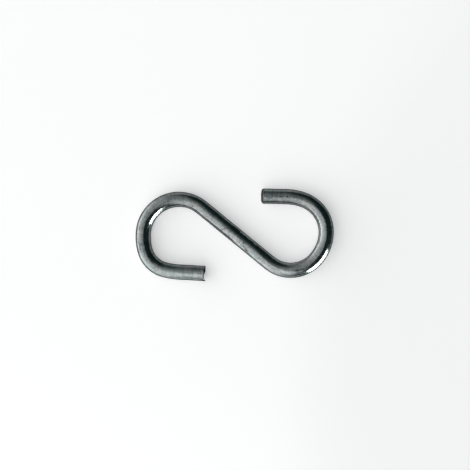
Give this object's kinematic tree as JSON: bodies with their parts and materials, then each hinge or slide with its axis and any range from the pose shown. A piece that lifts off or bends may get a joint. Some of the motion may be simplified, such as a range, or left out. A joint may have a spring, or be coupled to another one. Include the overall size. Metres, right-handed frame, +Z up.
{
  "type": "s hook",
  "caption": "S hook of round steel wire, with an open eye at each end of a slanting shank, for joining chains, rings and lines.",
  "frame": {"origin": "on the surface the hook lies on, under the middle of its straight shank; the centre of the hook's box is 0.25 mm away in plan", "axes": "+X along the length of the hook, towards the eye with the rounded tip; +Z up, square to the flat of the S"},
  "size_m": [0.0521, 0.0243, 0.004],
  "materials": {
    "plated_steel": "plated wire of a middle grey, glossy, with fine marks across it and a few pits; the cut ends are dull and darker"
  },
  "bodies": {
    "root": {"hook": "plated_steel"}
  },
  "joints": []
}
